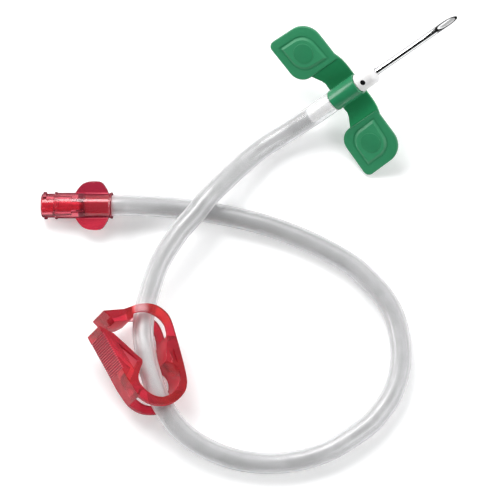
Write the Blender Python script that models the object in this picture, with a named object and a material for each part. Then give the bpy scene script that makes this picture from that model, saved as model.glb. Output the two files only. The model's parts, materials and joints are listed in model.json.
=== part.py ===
"""Dialysis fistula needle: winged steel cannula, clear hose, pinch clamp and luer connector.

The set lies on a table as it comes to rest: the needle's heading over the table is +X, +Z is up,
and the table is z = 0. Lengths below are in millimetres and are scaled to metres when meshed.
"""

import math

import bmesh
import bpy
from mathutils import Matrix, Vector, geometry

MM = 0.001
TAU = 2 * math.pi

# Hose
HOSE_R = 3.15
HOSE_LUMEN_R = 2.2
HOSE_GAP = 0.15
STEM_GAP = 0.55
SEAT_GAP = 0.35
END_RUN = 1.5
MOUTH_RUN = 2.0

# Cannula, 16 gauge
CANNULA_R = 0.8
CANNULA_WALL = 0.17
CANNULA_FREE = 32.0
CANNULA_HELD = 9.0
BEVEL_DEG = 15.0
LANCET_TURN_DEG = 35.0
LANCET_DEG = 19.0

# Hub: nose, barrel inside the wings' collar, stem inside the hose
COLLAR_REAR = -5.0
COLLAR_FRONT = 4.8
RUN_GAP = 0.2
END_GAP = 0.15
BARREL_R = 2.4
COLLAR_R = BARREL_R + RUN_GAP + 0.7
NOSE_R = 2.95
NOSE_LEN = 6.9
NOSE_DOME = 2.1
NOSE_TIP_R = 1.15
STEM_R = HOSE_LUMEN_R - 0.1
STEM_LEN = 8.2
HUB_LUMEN_R = 0.75
DOT_R = 0.83
DOT_AHEAD = 2.35
DOT_DEEP = 0.12
DOT_TURN_DEG = 3.5

# Wings: collar, two straps and two finger pads in one moulding
HALF_SPAN = 24.8
FOLD_Y = 9.6
STRAP_TOP = -1.6
STRAP_THICK = 1.0
PAD_TOP = -1.35
PAD_THICK = 1.3
PANEL_RISE = 0.22
DISC_R = 3.3
DISC_RISE = 0.22

# Pinch clamp: one bent strip, 11 mm wide, with a slot at each end for the hose
CLAMP_WIDTH = 11.0
SLOT_WIDTH = 2 * (HOSE_R + 0.75)
GRIP_PITCH = 0.52
GRIP_COUNT = 24
GRIP_DEEP = 0.22
POCKET_DEEP = 2.2

# Luer connector
LUER_LEN = 21.3
LUER_R = 3.84
LUER_NECK_R = 3.6
LUER_MOUTH_R = 3.95
SOCKET_DEEP = 8.4
SOCKET_R = HOSE_R + HOSE_GAP
LUER_BORE_R = 2.15
LUER_TAPER = 0.03
LUER_BORE_DEEP = 9.0
LUG_REACH = 7.35
LUG_THICK = 1.9
THREAD_RISE = 0.25

# Where each piece lies, from the photograph, in millimetres and degrees
HUB_AT = (-10.90, -0.65, 16.00)
HUB_ROLL_DEG = 21.4
HUB_PITCH_DEG = 33.7
CLAMP_AT = (-100.05, -42.82, 8.3)
CLAMP_TURN_DEG = (-2.9, 20.2, -21.25)
LUER_AT = (-88.09, 2.08, 5.91)
LUER_TURN_DEG = (164.9, 5.5, 151.6)

# Points chosen by hand along the hose, from behind the hub to before the luer connector:
# where it runs over the table, and how far its underside is above the table there
ROUTE = [
    (-27.32, -0.60, 2.55),
    (-31.33, -0.79, 1.42),
    (-35.01, -1.11, 1.00),
    (-40.28, -1.80, 1.11),
    (-46.88, -3.71, 2.32),
    (-54.22, -6.46, 4.67),
    (-61.45, -9.31, 6.43),
    (-68.14, -12.56, 6.68),
    (-75.23, -15.60, 6.31),
    (-84.20, -21.19, 5.15),
    (-91.87, -28.88, 4.00),
    (-95.42, -33.58, 4.08),
    (-98.10, -38.44, 4.62),
    (-99.81, -43.55, 5.00),
    (-101.31, -49.68, 4.90),
    (-102.39, -59.95, 4.62),
    (-100.26, -70.62, 2.75),
    (-92.22, -81.68, 0.55),
    (-80.60, -89.68, 0.05),
    (-66.41, -93.54, 0.05),
    (-51.92, -92.36, 0.05),
    (-44.75, -89.83, 0.05),
    (-38.81, -86.09, 0.05),
    (-33.56, -80.26, 0.05),
    (-30.11, -73.38, 0.05),
    (-28.20, -66.20, 0.05),
    (-28.26, -58.91, 0.05),
    (-30.07, -51.94, 0.05),
    (-32.70, -45.27, 0.05),
    (-39.79, -34.54, 0.05),
    (-49.36, -23.69, 0.05),
    (-60.33, -14.27, 0.05),
    (-72.23, -6.03, 0.65),
    (-82.71, -0.41, 2.21),
]
HOSE_STEP = 2 * 2 * HOSE_R
SEGMENTS = 32


def clear_scene():
    for obj in list(bpy.data.objects):
        bpy.data.objects.remove(obj, do_unlink=True)


def material(name, colour, roughness, metallic=0.0, transmission=0.0, alpha=1.0):
    made = bpy.data.materials.new(name)
    made.use_nodes = True
    shader = made.node_tree.nodes["Principled BSDF"]
    shader.inputs["Base Color"].default_value = (*colour, 1.0)
    shader.inputs["Roughness"].default_value = roughness
    shader.inputs["Metallic"].default_value = metallic
    shader.inputs["Transmission Weight"].default_value = transmission
    shader.inputs["Alpha"].default_value = alpha
    made.diffuse_color = (*colour, alpha)
    return made


def add_object(name, bm, mat, smooth_deg=35.0, parent=None):
    bmesh.ops.recalc_face_normals(bm, faces=bm.faces)
    mesh = bpy.data.meshes.new(name)
    bm.to_mesh(mesh)
    bm.free()
    obj = bpy.data.objects.new(name, mesh)
    bpy.context.scene.collection.objects.link(obj)
    if mat is not None:
        mesh.materials.append(mat)
    mesh.shade_smooth()
    mesh.set_sharp_from_angle(angle=math.radians(smooth_deg))
    if parent is not None:
        obj.parent = parent
    return obj


def lathe(profile, segments=SEGMENTS, spin=0.0):
    """A ring-shaped solid: a closed profile of (x, radius) points turned about the x axis."""
    bm = bmesh.new()
    rings = []
    for k in range(segments):
        a = spin + TAU * k / segments
        ring = []
        for x, r in profile:
            ring.append(bm.verts.new((x * MM, r * math.cos(a) * MM, r * math.sin(a) * MM)))
        rings.append(ring)
    count = len(profile)
    for k in range(segments):
        here = rings[k]
        there = rings[(k + 1) % segments]
        for i in range(count):
            j = (i + 1) % count
            bm.faces.new((here[i], here[j], there[j], there[i]))
    return bm


def prism(outline, low, high):
    """A flat outline in x and y, carried from z = low to z = high."""
    bm = bmesh.new()
    points = [Vector((x, y, 0)) for x, y in outline]
    bottom = [bm.verts.new((p.x * MM, p.y * MM, low * MM)) for p in points]
    top = [bm.verts.new((p.x * MM, p.y * MM, high * MM)) for p in points]
    for a, b, c in geometry.tessellate_polygon([points]):
        bm.faces.new((bottom[c], bottom[b], bottom[a]))
        bm.faces.new((top[a], top[b], top[c]))
    for i in range(len(points)):
        j = (i + 1) % len(points)
        bm.faces.new((bottom[i], bottom[j], top[j], top[i]))
    bmesh.ops.recalc_face_normals(bm, faces=bm.faces)
    bmesh.ops.dissolve_limit(bm, angle_limit=0.001, verts=bm.verts, edges=bm.edges)
    return bm


def rounded(corners, steps=6):
    """An outline whose corners, each (x, y, radius), are turned into arcs."""
    out = []
    count = len(corners)
    for i, (x, y, radius) in enumerate(corners):
        here = Vector((x, y))
        if radius <= 0:
            out.append((x, y))
            continue
        before = (Vector(corners[i - 1][:2]) - here).normalized()
        after = (Vector(corners[(i + 1) % count][:2]) - here).normalized()
        half = before.angle(after) / 2
        reach = radius / math.tan(half)
        start = here + before * reach
        end = here + after * reach
        centre = here + (before + after).normalized() * (radius / math.sin(half))
        first = start - centre
        turn = first.angle_signed(end - centre)
        for k in range(steps + 1):
            arm = first.copy()
            arm.rotate(Matrix.Rotation(-turn * k / steps, 2))
            out.append(tuple(centre + arm))
    return out


def smooth_line(points, times):
    """Points read from a smooth curve that passes through the given 2-D or 3-D ones."""
    pts = [Vector(p) for p in points]
    pts = [pts[0] * 2 - pts[1]] + pts + [pts[-1] * 2 - pts[-2]]
    out = []
    for i in range(1, len(pts) - 2):
        a, b, c, d = pts[i - 1 : i + 3]
        for k in range(times):
            t = k / times
            out.append(
                0.5
                * (
                    b * 2
                    + (c - a) * t
                    + (a * 2 - b * 5 + c * 4 - d) * t * t
                    + (b * 3 - a - c * 3 + d) * t * t * t
                )
            )
    out.append(pts[-2])
    return out


def evenly(points, step):
    """The same line with its points about one step apart."""
    lengths = [0.0]
    for a, b in zip(points, points[1:]):
        lengths.append(lengths[-1] + (b - a).length)
    count = max(2, round(lengths[-1] / step))
    out = []
    at = 0
    for k in range(count + 1):
        want = lengths[-1] * k / count
        while at < len(points) - 2 and lengths[at + 1] < want:
            at += 1
        part = (want - lengths[at]) / (lengths[at + 1] - lengths[at])
        out.append(points[at].lerp(points[at + 1], min(1.0, part)))
    return out


def boolean(obj, other, operation):
    other.hide_render = True
    other.display_type = "WIRE"
    mod = obj.modifiers.new(other.name, "BOOLEAN")
    mod.operation = operation
    mod.solver = "EXACT"
    mod.object = other
    mod.material_mode = "TRANSFER"
    mod.show_viewport = True
    mod.show_render = True
    return mod


def weld(obj):
    """Turns an object's modifiers into its mesh and drops the helpers they used."""
    helpers = [mod.object for mod in obj.modifiers if mod.type == "BOOLEAN"]
    graph = bpy.context.evaluated_depsgraph_get()
    bpy.context.view_layer.update()
    made = bpy.data.meshes.new_from_object(obj.evaluated_get(graph))
    made.name = obj.name
    obj.modifiers.clear()
    obj.data = made
    for helper in helpers:
        bpy.data.objects.remove(helper, do_unlink=True)
    bm = bmesh.new()
    bm.from_mesh(made)
    bmesh.ops.remove_doubles(bm, verts=bm.verts, dist=0.00001)
    bmesh.ops.dissolve_degenerate(bm, edges=bm.edges, dist=0.000005)
    bm.to_mesh(made)
    bm.free()
    made.shade_smooth()
    made.set_sharp_from_angle(angle=math.radians(35))


def helper(name, bm, mat=None):
    return add_object(name, bm, mat)


def placed(name, at, turn_deg):
    empty = bpy.data.objects.new(name, None)
    bpy.context.scene.collection.objects.link(empty)
    empty.empty_display_size = 0.01
    empty.location = Vector(at) * MM
    empty.rotation_euler = [math.radians(a) for a in turn_deg]
    return empty


def build_hub(axis, white, ink):
    barrel_rear = COLLAR_REAR - END_GAP
    flange = COLLAR_FRONT + END_GAP
    nose = flange + NOSE_LEN
    hold_r = CANNULA_R + 0.1
    hold_end = nose - CANNULA_HELD - 0.2
    profile = [
        (barrel_rear - STEM_LEN, STEM_R - 0.35),
        (barrel_rear - STEM_LEN + 0.5, STEM_R),
        (barrel_rear, STEM_R),
        (barrel_rear, BARREL_R),
        (flange, BARREL_R),
        (flange, NOSE_R - 0.2),
        (flange + 0.2, NOSE_R),
    ]
    for k in range(7):
        a = math.radians(90 * k / 6)
        run = nose - NOSE_DOME + NOSE_DOME * math.sin(a)
        profile.append((run, NOSE_TIP_R + (NOSE_R - NOSE_TIP_R) * math.cos(a) ** 0.8))
    profile += [
        (nose, hold_r),
        (hold_end, hold_r),
        (hold_end, HUB_LUMEN_R),
        (barrel_rear - STEM_LEN, HUB_LUMEN_R + 0.5),
    ]
    hub = add_object("hub", lathe(profile), white)
    hub.data.materials.append(ink)
    bm = bmesh.new()
    turn = Matrix.Rotation(math.radians(DOT_TURN_DEG), 4, "X")
    where = Vector(((flange + DOT_AHEAD) * MM, 0, (NOSE_R - DOT_DEEP + 1.0) * MM))
    bmesh.ops.create_cone(
        bm,
        cap_ends=True,
        segments=24,
        radius1=DOT_R * MM,
        radius2=DOT_R * MM,
        depth=2.0 * MM,
        matrix=turn @ Matrix.Translation(where),
    )
    boolean(hub, helper("dot_cut", bm, ink), "DIFFERENCE")
    weld(hub)
    hub.parent = axis
    return hub


def build_cannula(axis, steel):
    base = COLLAR_FRONT + END_GAP + NOSE_LEN
    tip = base + CANNULA_FREE
    rear = base - CANNULA_HELD
    bore = CANNULA_R - CANNULA_WALL
    profile = [
        (rear, CANNULA_R),
        (tip, CANNULA_R),
        (tip, bore),
        (rear, bore),
    ]
    cannula = add_object("cannula", lathe(profile, 28), steel)
    for name, turn_deg, slope_deg in (
        ("bevel_cut", 0.0, BEVEL_DEG),
        ("lancet_cut_left", LANCET_TURN_DEG, LANCET_DEG),
        ("lancet_cut_right", -LANCET_TURN_DEG, LANCET_DEG),
    ):
        bm = bmesh.new()
        slope = math.radians(slope_deg)
        tilt = Matrix.Rotation(slope, 4, "Y")
        lift = Matrix.Translation(Vector((0, 0, 10 * MM)))
        spin = Matrix.Rotation(math.radians(turn_deg), 4, "X")
        at = Matrix.Translation(Vector((tip * MM, 0, 0)))
        drop = Matrix.Translation(Vector((0, 0, -(CANNULA_R - 0.03) * MM)))
        bmesh.ops.create_cube(
            bm, size=20 * MM, matrix=at @ spin @ drop @ tilt @ lift
        )
        boolean(cannula, helper(name, bm), "DIFFERENCE")
    weld(cannula)
    cannula.parent = axis
    return cannula


def wing_outlines(side):
    """Strap, pad and panel outlines of one wing, with y growing away from the collar."""
    strap = [
        (COLLAR_FRONT - 0.5, 0.0),
        (COLLAR_FRONT - 0.45, 3.4),
        (4.4, 5.2),
        (4.25, 7.1),
        (3.95, 8.7),
        (3.8, FOLD_Y),
        (3.35, FOLD_Y + 1.9),
        (-6.9, FOLD_Y + 1.2),
        (-7.05, FOLD_Y + 0.1),
        (-5.95, 7.9),
        (-5.2, 6.7),
        (-4.75, 5.4),
        (COLLAR_REAR + 0.15, 3.6),
        (COLLAR_REAR + 0.1, 0.0),
    ]
    pad = rounded(
        [
            (3.45, FOLD_Y, 0.4),
            (3.2, HALF_SPAN - 0.3, 6.2),
            (-12.2, HALF_SPAN + 0.2, 1.9),
            (-11.75, FOLD_Y, 4.6),
        ]
    )
    panel = rounded(
        [
            (0.4, 12.0, 0.4),
            (0.1, 21.6, 4.6),
            (-9.3, 21.8, 0.4),
            (-8.9, 12.2, 4.6),
        ]
    )
    disc = []
    for k in range(24):
        a = TAU * k / 24
        disc.append((-4.4 + DISC_R * math.cos(a), 17.0 + DISC_R * math.sin(a)))
    return [[(x, y * side) for x, y in line] for line in (strap, pad, panel, disc)]


def build_wings(axis, green):
    bore = BARREL_R + RUN_GAP
    edge = 0.25
    profile = [
        (COLLAR_REAR, COLLAR_R - edge),
        (COLLAR_REAR + edge, COLLAR_R),
        (COLLAR_FRONT - edge, COLLAR_R),
        (COLLAR_FRONT, COLLAR_R - edge),
        (COLLAR_FRONT, 0.6),
        (COLLAR_REAR, 0.6),
    ]
    wings = add_object("wings", lathe(profile), green)
    for side, word in ((1, "left"), (-1, "right")):
        strap, pad, panel, disc = wing_outlines(side)
        low = STRAP_TOP - STRAP_THICK
        boolean(wings, helper("strap_" + word, prism(strap, low, STRAP_TOP)), "UNION")
        low = PAD_TOP - PAD_THICK
        boolean(wings, helper("pad_" + word, prism(pad, low, PAD_TOP)), "UNION")
        top = PAD_TOP + PANEL_RISE
        boolean(wings, helper("panel_" + word, prism(panel, PAD_TOP - 0.5, top)), "UNION")
        top += DISC_RISE
        boolean(wings, helper("disc_" + word, prism(disc, PAD_TOP - 0.6, top)), "UNION")
    bm = bmesh.new()
    bmesh.ops.create_cone(
        bm,
        cap_ends=True,
        segments=SEGMENTS,
        radius1=bore * MM,
        radius2=bore * MM,
        depth=30 * MM,
        matrix=Matrix.Rotation(math.radians(90), 4, "Y"),
    )
    boolean(wings, helper("collar_bore", bm), "DIFFERENCE")
    weld(wings)
    wings.parent = axis
    return wings


def clamp_outline():
    """The clamp seen from its face: hook, top bow, base arm, bottom bow, grip arm and nose."""
    bow = [
        (-6.6, 11.5),
        (-4.7, 12.15),
        (-2.55, 12.85),
        (-0.4, 13.15),
        (1.95, 13.1),
        (4.0, 12.45),
        (5.65, 11.25),
        (7.2, 9.45),
        (8.15, 6.6),
        (8.9, 2.2),
        (9.6, -1.95),
        (10.25, -6.5),
        (10.55, -9.6),
        (10.45, -11.8),
        (9.65, -14.1),
        (7.8, -16.2),
        (5.8, -17.5),
        (3.8, -18.15),
        (1.9, -18.35),
        (-0.6, -18.1),
        (-3.0, -17.1),
        (-5.2, -15.2),
        (-6.9, -12.4),
    ]
    out = [(-13.1, 11.0)]
    out += [tuple(p) for p in smooth_line(bow, 2)]
    start = Vector((-7.9, -10.6))
    end = Vector((-14.55, 4.4))
    out.append(tuple(start))
    along = (end - start).normalized()
    inward = Vector((along.y, -along.x))
    first = ((end - start).length - GRIP_COUNT * GRIP_PITCH) / 2
    for k in range(GRIP_COUNT):
        ridge = start + along * (first + k * GRIP_PITCH)
        out.append(tuple(ridge))
        out.append(tuple(ridge + along * GRIP_PITCH / 2 + inward * GRIP_DEEP))
    out.append(tuple(end))
    out += [(-15.25, 6.1), (-14.35, 5.85), (-10.9, 4.0), (-7.15, 0.25)]
    nose = [
        (-4.3, -2.75),
        (-3.2, -3.8),
        (-2.8, -4.3),
        (-2.75, -4.9),
        (-2.9, -5.6),
        (-3.5, -6.8),
        (-4.2, -8.3),
        (-4.55, -9.7),
        (-4.4, -11.2),
        (-3.65, -12.5),
        (-2.5, -13.8),
        (-1.3, -14.8),
        (0.1, -15.5),
        (1.5, -15.8),
        (2.8, -15.75),
        (5.2, -14.9),
        (6.7, -13.6),
        (7.9, -11.6),
        (8.45, -9.6),
        (8.3, -7.8),
        (7.4, -6.3),
        (5.9, -5.35),
    ]
    out += [tuple(p) for p in smooth_line(nose, 2)]
    out += [(4.65, -4.75), (4.75, -3.0), (5.5, 0.1), (6.0, 2.2)]
    crown = [
        (6.1, 4.5),
        (5.75, 6.6),
        (4.75, 8.2),
        (3.35, 9.5),
        (1.6, 10.4),
        (-0.2, 10.85),
        (-2.3, 10.7),
        (-3.9, 10.2),
    ]
    out += [tuple(p) for p in smooth_line(crown, 2)]
    out += [(-4.05, 8.9), (-6.4, 7.8), (-10.2, 7.3)]
    return out


def build_clamp(place, red):
    half = CLAMP_WIDTH / 2
    clamp = add_object("pinch_clamp", prism(clamp_outline(), -half, half), red)
    slot = SLOT_WIDTH / 2
    top_slot = [(-3.9, 8.2), (-3.9, 14.5), (9.5, 14.5), (9.5, 3.2), (5.0, 3.2), (0.0, 8.2)]
    low_slot = [(-4.4, -13.0), (-6.0, -20.5), (10.0, -20.5), (9.0, -13.6), (4.0, -13.4)]
    for name, line in (("top_slot", top_slot), ("low_slot", low_slot)):
        boolean(clamp, helper(name, prism(line, -slot, slot)), "DIFFERENCE")
    nose_pocket = [(-9.6, 0.6), (-4.1, -4.6), (-5.8, -7.2)]
    jaw_pocket = [(7.4, -0.9), (6.1, -4.2), (8.3, -5.2)]
    for word, line in (("nose", nose_pocket), ("jaw", jaw_pocket)):
        for side, low in (("front", half - POCKET_DEEP), ("back", -half - 1.0)):
            cut = prism(line, low, low + POCKET_DEEP + 1.0)
            boolean(clamp, helper(f"{word}_pocket_{side}", cut), "DIFFERENCE")
    weld(clamp)
    clamp.parent = place
    return clamp


def build_luer(place, red):
    mouth_in = SOCKET_R + 0.35
    seat = SOCKET_DEEP
    bore_end = LUER_BORE_R - LUER_TAPER * LUER_BORE_DEEP
    profile = [
        (0.0, LUER_MOUTH_R),
        (0.35, LUER_MOUTH_R),
        (0.9, LUER_NECK_R + 0.1),
        (11.0, LUER_R),
        (16.6, LUER_R),
        (16.7, LUER_R + THREAD_RISE),
        (17.2, LUER_R + THREAD_RISE),
        (17.3, LUER_R - 0.25),
        (LUER_LEN - 0.9, LUER_R - 0.25),
        (LUER_LEN, LUER_R - 0.55),
        (LUER_LEN, LUER_BORE_R),
        (LUER_LEN - LUER_BORE_DEEP, bore_end),
        (LUER_LEN - LUER_BORE_DEEP, 1.4),
        (seat, 1.4),
        (seat, SOCKET_R),
        (0.8, SOCKET_R),
        (0.0, mouth_in),
    ]
    luer = add_object("luer_connector", lathe(profile, 40), red)
    for side, word in ((1, "up"), (-1, "down")):
        lobe = [
            (10.9, SOCKET_R + 0.15),
            (11.0, LUER_R - 0.1),
            (9.9, 5.4),
            (8.7, 6.6),
            (7.2, 7.25),
            (5.6, LUG_REACH),
            (4.0, 7.25),
            (2.9, 6.6),
            (2.1, 5.4),
            (1.4, LUER_NECK_R + 0.05),
            (1.5, SOCKET_R + 0.15),
        ]
        lobe = [(x, y * side) for x, y in lobe]
        low = -LUG_THICK / 2
        boolean(luer, helper("lug_" + word, prism(lobe, low, -low)), "UNION")
    for side, word in ((1, "front"), (-1, "back")):
        bm = bmesh.new()
        turn = Matrix.Rotation(math.radians(90 + 90 * side + 60), 4, "X")
        where = Vector(((LUER_LEN - 1.1) * MM, 0, (LUER_R - 0.55) * MM))
        bmesh.ops.create_cube(bm, size=1.0 * MM, matrix=Matrix())
        bmesh.ops.scale(bm, vec=(1.1, 3.0, 1.3), verts=bm.verts)
        bmesh.ops.transform(bm, matrix=turn @ Matrix.Translation(where), verts=bm.verts)
        boolean(luer, helper("thread_" + word, bm), "UNION")
    weld(luer)
    luer.parent = place
    return luer


def build_hose(axis, luer_place, clear):
    bpy.context.view_layer.update()
    stem_end = COLLAR_REAR - END_GAP - STEM_LEN - STEM_GAP
    hub_end = [Vector((x * MM, 0, 0)) for x in (stem_end, stem_end - END_RUN)]
    luer_end = [Vector((x * MM, 0, 0)) for x in (-MOUTH_RUN, SOCKET_DEEP - SEAT_GAP)]
    points = [axis.matrix_world @ p / MM for p in hub_end]
    points += [Vector((x, y, under + HOSE_R)) for x, y, under in ROUTE]
    points += [luer_place.matrix_world @ p / MM for p in luer_end]
    line = smooth_line(points, 8)
    line = [line[0]] + evenly(line[8:-8], HOSE_STEP) + [line[-1]]
    curve = bpy.data.curves.new("hose", "CURVE")
    curve.dimensions = "3D"
    curve.twist_mode = "MINIMUM"
    curve.bevel_depth = HOSE_R * MM
    curve.bevel_resolution = 4
    curve.use_fill_caps = True
    spline = curve.splines.new("POLY")
    spline.points.add(len(line) - 1)
    for point, at in zip(spline.points, line):
        point.co = (*(at * MM), 1.0)
    curve.materials.append(clear)
    hose = bpy.data.objects.new("hose", curve)
    bpy.context.scene.collection.objects.link(hose)
    return hose


def main():
    clear_scene()
    white = material("hub_white", (0.86, 0.86, 0.86), 0.3)
    ink = material("dot_black", (0.01, 0.01, 0.01), 0.5)
    green = material("wing_green", (0.04, 0.29, 0.13), 0.32)
    steel = material("steel", (0.72, 0.73, 0.75), 0.18, metallic=1.0)
    clear = material("hose_clear", (0.8, 0.82, 0.83), 0.12, transmission=0.6, alpha=0.6)
    clamp_red = material("clamp_red", (0.55, 0.02, 0.04), 0.2, transmission=0.35)
    luer_red = material("luer_red", (0.5, 0.015, 0.045), 0.1, transmission=0.5)
    axis = placed("needle_axis", HUB_AT, (HUB_ROLL_DEG, -HUB_PITCH_DEG, 0.0))
    build_hub(axis, white, ink)
    build_cannula(axis, steel)
    build_wings(axis, green)
    build_clamp(placed("clamp_place", CLAMP_AT, CLAMP_TURN_DEG), clamp_red)
    luer_place = placed("luer_place", LUER_AT, LUER_TURN_DEG)
    build_luer(luer_place, luer_red)
    build_hose(axis, luer_place, clear)
    bpy.context.view_layer.update()


main()
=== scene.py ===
"""Fistula needle set: bevelled cannula, white hub, turning green wings, clear hose, clamp and luer."""

import json
import math

import bmesh
import bpy
from bpy.props import FloatProperty, FloatVectorProperty, PointerProperty
from mathutils import Euler, Matrix, Vector

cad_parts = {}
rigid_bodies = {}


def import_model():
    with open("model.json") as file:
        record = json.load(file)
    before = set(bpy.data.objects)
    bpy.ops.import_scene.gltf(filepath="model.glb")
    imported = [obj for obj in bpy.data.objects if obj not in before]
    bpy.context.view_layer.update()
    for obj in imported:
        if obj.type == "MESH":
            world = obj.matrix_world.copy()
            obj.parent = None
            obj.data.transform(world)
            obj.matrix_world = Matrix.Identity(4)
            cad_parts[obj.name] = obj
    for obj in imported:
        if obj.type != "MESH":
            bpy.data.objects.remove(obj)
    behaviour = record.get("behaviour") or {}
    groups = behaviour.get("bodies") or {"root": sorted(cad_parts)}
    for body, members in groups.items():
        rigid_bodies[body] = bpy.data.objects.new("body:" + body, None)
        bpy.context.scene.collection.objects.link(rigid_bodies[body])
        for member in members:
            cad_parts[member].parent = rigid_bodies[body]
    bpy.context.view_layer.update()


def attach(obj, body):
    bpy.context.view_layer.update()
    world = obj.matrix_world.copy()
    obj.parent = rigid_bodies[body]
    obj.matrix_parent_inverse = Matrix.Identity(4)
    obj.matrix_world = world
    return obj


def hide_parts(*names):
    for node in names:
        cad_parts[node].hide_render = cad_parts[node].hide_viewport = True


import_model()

bl_info = {
    "name": "Fistula needle set",
    "version": (1, 0, 0),
    "blender": (4, 5, 0),
    "location": "3D View > Sidebar > Needle set",
    "description": "Models a winged dialysis needle with its hose, clamp and connector",
    "category": "Object",
}

MM = 0.001
TAU = 2 * math.pi


def laid(at, turn_deg):
    """The place of a piece on the table, from millimetres and degrees."""
    turn = Euler([math.radians(a) for a in turn_deg]).to_matrix().to_4x4()
    return Matrix.Translation(Vector(at) * MM) @ turn


# Where the pieces lie, in millimetres, and how they are turned about x, y and z, in degrees
NEEDLE_AT = (-10.90, -0.65, 16.00)
NEEDLE_TURN = (21.4, -33.7, 0.0)
CLAMP_AT = (-100.05, -42.82, 8.3)
CLAMP_TURN = (-2.9, 20.2, -21.25)
LUER_AT = (-88.09, 2.08, 5.91)
LUER_TURN = (164.9, 5.5, 151.6)
NEEDLE_PLACE = laid(NEEDLE_AT, NEEDLE_TURN)
CLAMP_PLACE = laid(CLAMP_AT, CLAMP_TURN)
LUER_PLACE = laid(LUER_AT, LUER_TURN)

# The needle's pieces lie along x, in millimetres, with the tip at the far end
COLLAR_REAR = -5.0
COLLAR_FRONT = 4.8
BARREL_REAR = -5.15
BARREL_FRONT = 4.95
BARREL_R = 2.4
COLLAR_BORE = 2.6
COLLAR_R = 3.3
STEM_END = -13.9
STEM_R = 2.1
NOSE_R = 2.95
HUB_BORE = 0.75
FOLD_Y = 9.6
PAD_TOP = -1.35
CANNULA_WALL = 0.22
CANNULA_ASIDE = -0.15
BEVEL_TURN = -20
BEVEL_REACH = 7.6

# The clamp lies in its own x and y, and its grip's ridges run up from the foot
NOSE_POCKET = [(-5.6, -7.2), (-4.0, -4.5), (-9.7, 0.7)]
CROWN = (-1.2, 11.9)
GRIP_FOOT = (-9.6, -6.76)
GRIP_RUN = (-0.4053, 0.9142)
GRIP_PITCH = 0.7
GRIP_COUNT = 17

# The connector lies along x with its mouth at the far end, and these marks of painted shade lie on it
SOCKET_DEPTH = 8.4
SHADE_MARKS = [(9.2, 2.9, 0, 1.1, 0.9), (9.2, -2.7, 0, 1.1, 0.9), (17.4, -2.6, 60, 0.8, 0.4)]

# How far along their axes the hose's ends lie, over the stem and in the connector's socket
ON_STEM = (BARREL_REAR - 0.12, -9.3, -13.6)
IN_SOCKET = (-2.0, 3.0, 8.05)

# Where the hose runs over the table, and how far its underside is above the table there
ROUTE = [
    (-27.32, -0.60, 2.55),
    (-31.33, -0.79, 1.42),
    (-35.01, -1.11, 1.00),
    (-40.28, -1.80, 1.11),
    (-46.88, -3.71, 2.32),
    (-54.22, -6.46, 4.67),
    (-61.45, -9.31, 6.43),
    (-68.14, -12.56, 6.68),
    (-75.23, -15.60, 6.31),
    (-84.20, -21.19, 5.15),
    (-91.87, -28.88, 4.00),
    (-95.42, -33.58, 4.08),
    (-98.10, -38.44, 4.62),
    (-99.81, -43.55, 5.00),
    (-101.31, -49.68, 4.90),
    (-102.39, -59.95, 4.62),
    (-100.26, -70.62, 2.75),
    (-92.22, -81.68, 0.55),
    (-80.60, -89.68, 0.05),
    (-66.41, -93.54, 0.05),
    (-51.92, -92.36, 0.05),
    (-44.75, -89.83, 0.05),
    (-38.81, -86.09, 0.05),
    (-33.56, -80.26, 0.05),
    (-30.11, -73.38, 0.05),
    (-28.20, -66.20, 0.05),
    (-28.26, -58.91, 0.05),
    (-30.07, -51.94, 0.05),
    (-32.70, -45.27, 0.05),
    (-39.79, -34.54, 0.05),
    (-49.36, -23.69, 0.05),
    (-60.33, -14.27, 0.05),
    (-72.23, -6.03, 0.65),
    (-82.71, -0.41, 2.21),
]

# The photograph's view: the spot it looks at, in millimetres, and the two ways along the table
AIM = (-56.9, -27.4, 0.0)
VIEW_AZIMUTH = 333.1
VIEW_HEIGHT = 75.0
VIEW_DISTANCE = 1.5
INTO_PICTURE = Vector((0.4524, 0.8918, 0.0))
TO_THE_RIGHT = Vector((0.8918, -0.4524, 0.0))

# Each lamp's name, and how far it stands into the picture, to the right and up, in metres
LAMPS = [
    ("key", 0.5, -0.25, 0.72),
    ("side", 0.1, -0.8, 0.34),
    ("fill", -0.35, 0.6, 0.5),
]

# A dark card over the camera and one on the left: how squarely a ray has to meet each
CAMERA_CARD = (0.78, 0.86)
LEFT_CARD_WAY = (-0.86, -0.19, 0.47)
LEFT_CARD = (0.48, 0.58)
CARD_GLOW = 0.02


# Settings


def length(name, description, default, low, high, precision=4):
    return FloatProperty(
        name=name,
        description=description,
        default=default,
        min=low,
        max=high,
        precision=precision,
        unit="LENGTH",
    )


def power(name, description, default):
    return FloatProperty(
        name=name,
        description=description,
        default=default,
        min=0.0,
        max=60.0,
        unit="POWER",
    )


def paint(name, description, default):
    return FloatVectorProperty(
        name=name,
        description=description,
        default=default,
        min=0.0,
        max=1.0,
        subtype="COLOR",
    )


class HoseSettings(bpy.types.PropertyGroup):
    radius: length("Radius", "Half of the hose's outside diameter", 0.00315, 0.002, 0.004, 5)
    wall: length("Wall", "Thickness of the clear wall", 0.00095, 0.0004, 0.0015, 5)
    tint: paint("Tint", "Colour of the clear wall", (0.93, 0.94, 0.945))


class NeedleSettings(bpy.types.PropertyGroup):
    radius: length("Radius", "Half of the cannula's outside diameter", 0.001, 0.0005, 0.0012, 5)
    free_length: length(
        "Free length", "How far the cannula stands out of the hub", 0.0309, 0.02, 0.04
    )
    bevel: FloatProperty(
        name="Bevel",
        description="Slope of the ground opening at the tip",
        default=math.radians(15),
        min=math.radians(10),
        max=math.radians(30),
        subtype="ANGLE",
    )
    steel: paint("Steel", "Colour of the cannula", (0.86, 0.865, 0.87))


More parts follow.
